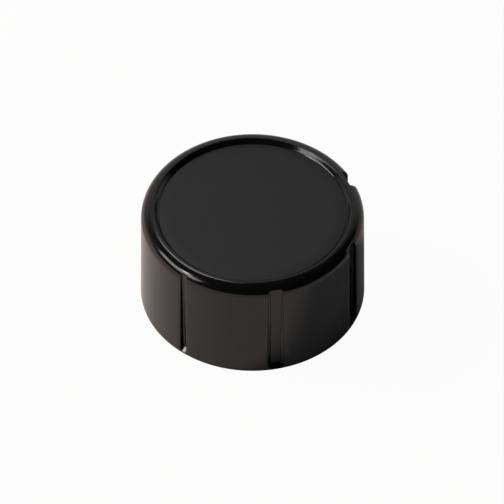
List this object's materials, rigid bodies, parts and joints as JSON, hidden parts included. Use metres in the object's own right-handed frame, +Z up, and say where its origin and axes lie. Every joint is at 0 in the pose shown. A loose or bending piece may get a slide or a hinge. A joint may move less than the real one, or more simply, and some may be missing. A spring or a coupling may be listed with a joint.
{
  "type": "cylindrical control knob",
  "caption": "Low cylindrical push-on knob with a rimmed matte top face, guide grooves down one side and a split D-bore hub with a spring clip.",
  "frame": {"origin": "centre of the foot plane, on the shaft axis", "axes": "+Z up along the shaft axis, out of the top face; -Y towards the front that the picture shows"},
  "size_m": [0.04, 0.04, 0.0204],
  "materials": {
    "black_plastic": "polished moulding, fine matte texture on the sunk top face",
    "spring_steel": "bare rolled spring strip"
  },
  "bodies": {
    "root": {"knob_body": "black_plastic", "spring_clip": "spring_steel"}
  },
  "joints": []
}
